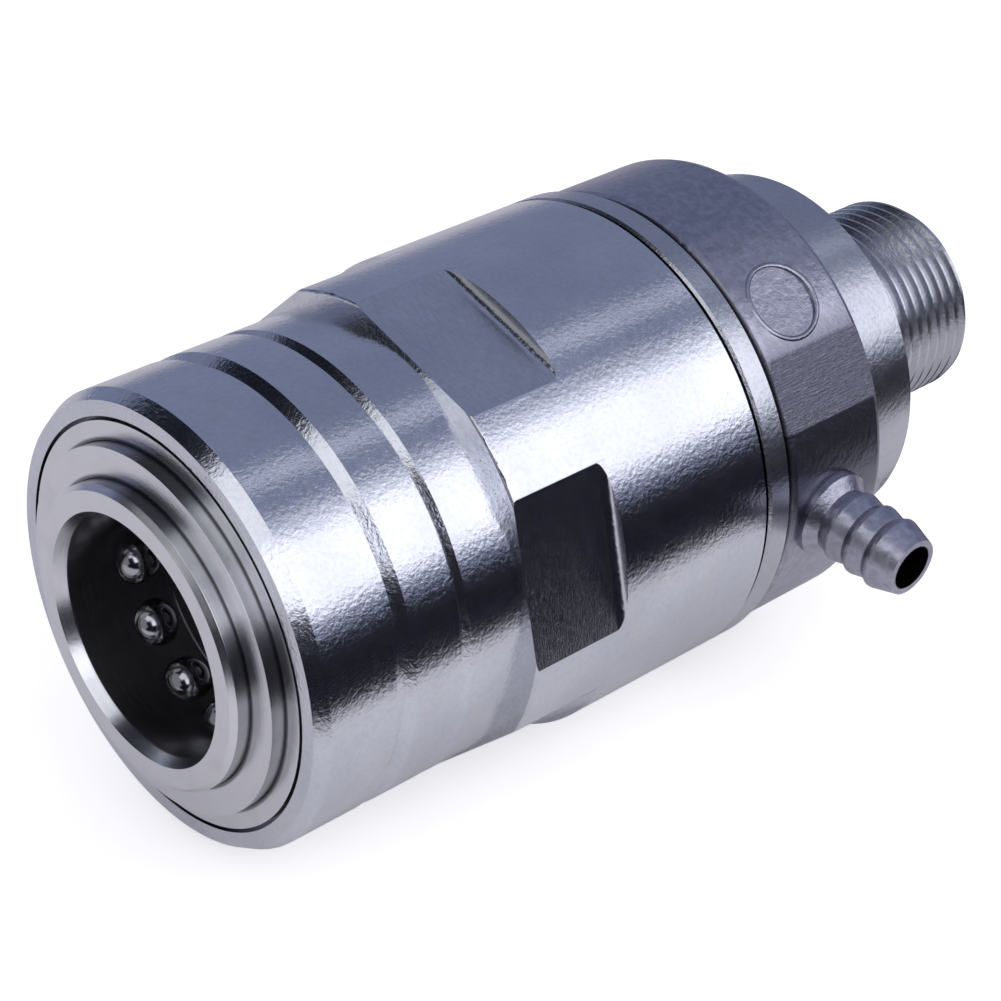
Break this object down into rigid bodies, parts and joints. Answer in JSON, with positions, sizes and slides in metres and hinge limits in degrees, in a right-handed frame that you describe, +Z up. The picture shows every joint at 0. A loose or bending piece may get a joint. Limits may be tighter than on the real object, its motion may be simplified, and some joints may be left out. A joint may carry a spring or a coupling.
{
  "type": "hydraulic quick coupler",
  "caption": "Push-pull hydraulic coupler half with a ball-lock socket, inner poppet valve, wrench flats, swivelling leak-oil ring with hose barb, and an externally threaded cone stud",
  "frame": {"origin": "Centre of the ball cage's front face, on the coupler's axis, at rest", "axes": "+X runs along the coupler's axis from the mouth to the threaded stud; +Z is up with the hose barb towards -Y; the ball at 5 degrees behind the top is the first"},
  "size_m": [0.1044, 0.0595, 0.049],
  "materials": {
    "zinc_steel": "bright zinc plating with a fine orange-peel texture",
    "turned_steel": "plain turned steel",
    "spring_steel": "dark spring steel",
    "ball_steel": "polished bearing balls",
    "cast_aluminium": "dull die-cast surface with a sawn gate pad",
    "black_rubber": "smooth nitrile rubber",
    "white_plastic": "plain PTFE"
  },
  "bodies": {
    "housing": {"front_sleeve": "zinc_steel", "guide_bush": "turned_steel", "bush_snap_ring": "spring_steel", "main_body": "zinc_steel", "collar_nut": "zinc_steel", "rear_adapter": "zinc_steel", "adapter_seal": "black_rubber", "drain_seal_front": "black_rubber", "drain_seal_rear": "black_rubber", "lock_spring": "spring_steel"},
    "drain": {"drain_ring": "cast_aluminium"},
    "lock": {"lock_ring": "turned_steel", "spring_seat": "turned_steel", "seat_clip": "spring_steel", "cage_spring": "spring_steel"},
    "cage": {"ball_cage": "turned_steel", "probe_seal": "black_rubber", "probe_backup_ring": "white_plastic", "valve_tube": "turned_steel", "tube_seal": "black_rubber", "piston_seal": "black_rubber", "valve_guide": "turned_steel", "poppet_spring": "spring_steel"},
    "valve": {"poppet": "turned_steel", "poppet_seal": "black_rubber"},
    "ball_01_body": {"ball_01": "ball_steel"},
    "ball_02_body": {"ball_02": "ball_steel"},
    "ball_03_body": {"ball_03": "ball_steel"},
    "ball_04_body": {"ball_04": "ball_steel"},
    "ball_05_body": {"ball_05": "ball_steel"},
    "ball_06_body": {"ball_06": "ball_steel"},
    "ball_07_body": {"ball_07": "ball_steel"},
    "ball_08_body": {"ball_08": "ball_steel"},
    "ball_09_body": {"ball_09": "ball_steel"},
    "ball_10_body": {"ball_10": "ball_steel"},
    "ball_11_body": {"ball_11": "ball_steel"},
    "ball_12_body": {"ball_12": "ball_steel"}
  },
  "joints": [
    {"name": "breakaway", "type": "slide", "parent": "housing", "child": "lock", "axis": [-1, 0, 0], "range_m": [0, 0.004], "stiffness_N_per_m": 20000, "springref_m": -0.004, "deforming": ["lock_spring"]},
    {"name": "cage_push", "type": "slide", "parent": "lock", "child": "cage", "axis": [1, 0, 0], "range_m": [0, 0.005], "stiffness_N_per_m": 8000, "springref_m": -0.005, "deforming": ["cage_spring"]},
    {"name": "valve_open", "type": "slide", "parent": "cage", "child": "valve", "axis": [1, 0, 0], "range_m": [0, 0.005], "stiffness_N_per_m": 2000, "springref_m": -0.008, "deforming": ["poppet_spring"]},
    {"name": "drain_swivel", "type": "hinge", "parent": "housing", "child": "drain", "pos_m": [0.0674, 0, 0], "axis": [1, 0, 0], "continuous": true},
    {"name": "ball_01_slide", "type": "slide", "parent": "cage", "child": "ball_01_body", "axis": [0, 0.0872, 0.9962], "range_m": [0, 0.0017]},
    {"name": "ball_02_slide", "type": "slide", "parent": "cage", "child": "ball_02_body", "axis": [0, -0.4226, 0.9063], "range_m": [0, 0.0017]},
    {"name": "ball_03_slide", "type": "slide", "parent": "cage", "child": "ball_03_body", "axis": [0, -0.8192, 0.5736], "range_m": [0, 0.0017]},
    {"name": "ball_04_slide", "type": "slide", "parent": "cage", "child": "ball_04_body", "axis": [0, -0.9962, 0.0872], "range_m": [0, 0.0017]},
    {"name": "ball_05_slide", "type": "slide", "parent": "cage", "child": "ball_05_body", "axis": [0, -0.9063, -0.4226], "range_m": [0, 0.0017]},
    {"name": "ball_06_slide", "type": "slide", "parent": "cage", "child": "ball_06_body", "axis": [0, -0.5736, -0.8192], "range_m": [0, 0.0017]},
    {"name": "ball_07_slide", "type": "slide", "parent": "cage", "child": "ball_07_body", "axis": [0, -0.0872, -0.9962], "range_m": [0, 0.0017]},
    {"name": "ball_08_slide", "type": "slide", "parent": "cage", "child": "ball_08_body", "axis": [0, 0.4226, -0.9063], "range_m": [0, 0.0017]},
    {"name": "ball_09_slide", "type": "slide", "parent": "cage", "child": "ball_09_body", "axis": [0, 0.8192, -0.5736], "range_m": [0, 0.0017]},
    {"name": "ball_10_slide", "type": "slide", "parent": "cage", "child": "ball_10_body", "axis": [0, 0.9962, -0.0872], "range_m": [0, 0.0017]},
    {"name": "ball_11_slide", "type": "slide", "parent": "cage", "child": "ball_11_body", "axis": [0, 0.9063, 0.4226], "range_m": [0, 0.0017]},
    {"name": "ball_12_slide", "type": "slide", "parent": "cage", "child": "ball_12_body", "axis": [0, 0.5736, 0.8192], "range_m": [0, 0.0017]}
  ],
  "couplings": [
    {"joint": "ball_01_slide", "follows": "cage_push", "ratio": 0.34},
    {"joint": "ball_02_slide", "follows": "cage_push", "ratio": 0.34},
    {"joint": "ball_03_slide", "follows": "cage_push", "ratio": 0.34},
    {"joint": "ball_04_slide", "follows": "cage_push", "ratio": 0.34},
    {"joint": "ball_05_slide", "follows": "cage_push", "ratio": 0.34},
    {"joint": "ball_06_slide", "follows": "cage_push", "ratio": 0.34},
    {"joint": "ball_07_slide", "follows": "cage_push", "ratio": 0.34},
    {"joint": "ball_08_slide", "follows": "cage_push", "ratio": 0.34},
    {"joint": "ball_09_slide", "follows": "cage_push", "ratio": 0.34},
    {"joint": "ball_10_slide", "follows": "cage_push", "ratio": 0.34},
    {"joint": "ball_11_slide", "follows": "cage_push", "ratio": 0.34},
    {"joint": "ball_12_slide", "follows": "cage_push", "ratio": 0.34}
  ]
}
